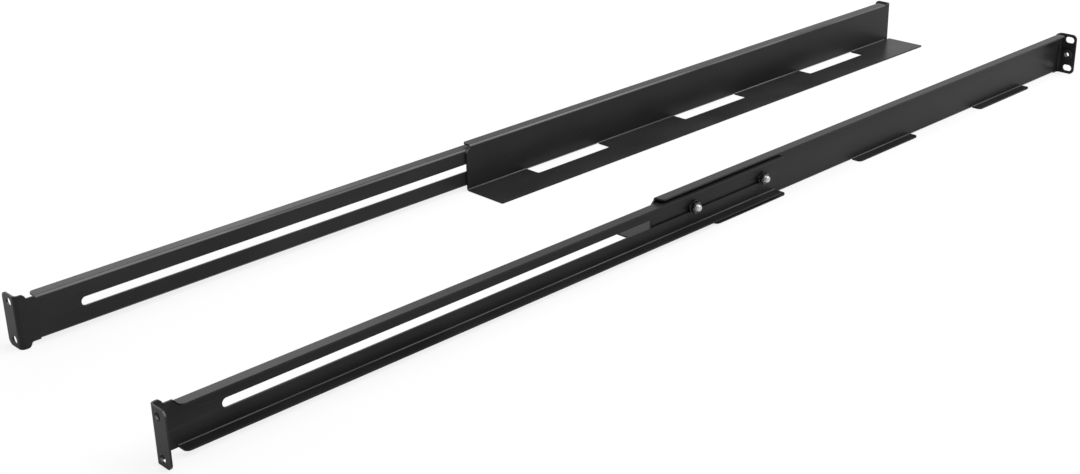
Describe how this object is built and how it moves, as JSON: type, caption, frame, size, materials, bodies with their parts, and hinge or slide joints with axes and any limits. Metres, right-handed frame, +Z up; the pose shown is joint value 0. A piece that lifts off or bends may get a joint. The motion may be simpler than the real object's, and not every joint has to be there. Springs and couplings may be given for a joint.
{
  "type": "adjustable server rack rail pair",
  "caption": "Pair of adjustable one-unit rack rails: a front rail with a server ledge, and a slotted rear bracket that slides along it and is clamped by nuts on studs.",
  "frame": {"origin": "middle of the pair's length and width as shown, on the plane of the ledges' undersides", "axes": "+X along the rails towards the front ears, +Y towards the left rail, +Z up"},
  "size_m": [1.159, 0.2524, 0.0444],
  "materials": {
    "black_powder_coat": "semi-gloss black powder coat, fine texture",
    "black_oxide": "black zinc plated steel",
    "zinc": "bright zinc plated steel"
  },
  "bodies": {
    "fixed_rails": {"left_main_rail": "black_powder_coat", "left_rear_stud": "zinc", "left_front_stud": "zinc", "left_ear_insert": "zinc", "right_main_rail": "black_powder_coat", "right_rear_stud": "zinc", "right_front_stud": "zinc", "right_ear_insert": "zinc"},
    "left_bracket": {"left_extension": "black_powder_coat"},
    "left_rear_washer_body": {"left_rear_washer": "black_oxide"},
    "left_rear_nut_body": {"left_rear_nut": "black_oxide"},
    "left_front_washer_body": {"left_front_washer": "black_oxide"},
    "left_front_nut_body": {"left_front_nut": "black_oxide"},
    "right_bracket": {"right_extension": "black_powder_coat"},
    "right_rear_washer_body": {"right_rear_washer": "black_oxide"},
    "right_rear_nut_body": {"right_rear_nut": "black_oxide"},
    "right_front_washer_body": {"right_front_washer": "black_oxide"},
    "right_front_nut_body": {"right_front_nut": "black_oxide"}
  },
  "joints": [
    {"name": "left_rail_slide", "type": "slide", "parent": "fixed_rails", "child": "left_bracket", "axis": [1, 0, 0], "range_m": [-0.036, 0.442]},
    {"name": "left_rear_washer_lift", "type": "slide", "parent": "fixed_rails", "child": "left_rear_washer_body", "axis": [0, 1, 0], "range_m": [0, 0.001]},
    {"name": "left_rear_nut_turn", "type": "hinge", "parent": "left_rear_washer_body", "child": "left_rear_nut_body", "pos_m": [-0.0619, 0.113, 0.0223], "axis": [0, 1, 0], "range_deg": [0, 360]},
    {"name": "left_front_washer_lift", "type": "slide", "parent": "fixed_rails", "child": "left_front_washer_body", "axis": [0, 1, 0], "range_m": [0, 0.001]},
    {"name": "left_front_nut_turn", "type": "hinge", "parent": "left_front_washer_body", "child": "left_front_nut_body", "pos_m": [0.0321, 0.113, 0.0223], "axis": [0, 1, 0], "range_deg": [0, 360]},
    {"name": "right_rail_slide", "type": "slide", "parent": "fixed_rails", "child": "right_bracket", "axis": [1, 0, 0], "range_m": [-0.0006, 0.478]},
    {"name": "right_rear_washer_lift", "type": "slide", "parent": "fixed_rails", "child": "right_rear_washer_body", "axis": [0, -1, 0], "range_m": [0, 0.001]},
    {"name": "right_rear_nut_turn", "type": "hinge", "parent": "right_rear_washer_body", "child": "right_rear_nut_body", "pos_m": [-0.042, -0.113, 0.0223], "axis": [0, -1, 0], "range_deg": [0, 360]},
    {"name": "right_front_washer_lift", "type": "slide", "parent": "fixed_rails", "child": "right_front_washer_body", "axis": [0, -1, 0], "range_m": [0, 0.001]},
    {"name": "right_front_nut_turn", "type": "hinge", "parent": "right_front_washer_body", "child": "right_front_nut_body", "pos_m": [0.052, -0.113, 0.0223], "axis": [0, -1, 0], "range_deg": [0, 360]}
  ],
  "couplings": [
    {"joint": "left_rear_nut_turn", "follows": "left_rear_washer_lift", "rad_per_m": 6283.1},
    {"joint": "left_front_nut_turn", "follows": "left_front_washer_lift", "rad_per_m": 6283.1},
    {"joint": "right_rear_nut_turn", "follows": "right_rear_washer_lift", "rad_per_m": 6283.1},
    {"joint": "right_front_nut_turn", "follows": "right_front_washer_lift", "rad_per_m": 6283.1}
  ]
}
